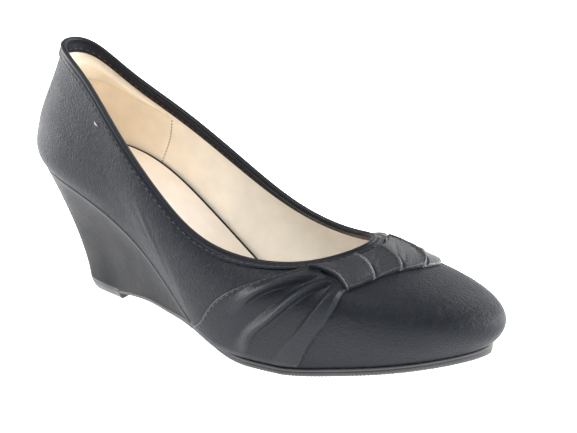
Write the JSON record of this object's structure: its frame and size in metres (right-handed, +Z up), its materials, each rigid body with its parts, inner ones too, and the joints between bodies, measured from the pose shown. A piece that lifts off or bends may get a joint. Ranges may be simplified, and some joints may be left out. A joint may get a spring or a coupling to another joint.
{
  "type": "wedge pump shoe",
  "caption": "Closed-toe wedge pump, right shoe, with a curved covered wedge, gathered side panels and a tucked band across the vamp.",
  "frame": {"origin": "on the floor, under the middle of the top lift's bottom face", "axes": "+X from heel to toe, +Y to the inner side of the foot, +Z up"},
  "size_m": [0.249, 0.0867, 0.1283],
  "materials": {
    "upper_leather": "satin, fine crinkled grain",
    "lining": "matt beige",
    "wedge_cover": "satin, fine crinkled grain",
    "sole_rubber": "matt",
    "lift_rubber": "slightly glossy"
  },
  "bodies": {
    "root": {"upper": "upper_leather", "topline_binding": "upper_leather", "insole": "lining", "wedge": "wedge_cover", "outsole": "sole_rubber", "top_lift": "lift_rubber", "pleat_outer": "upper_leather", "pleat_inner": "upper_leather", "vamp_band": "upper_leather"}
  },
  "joints": []
}
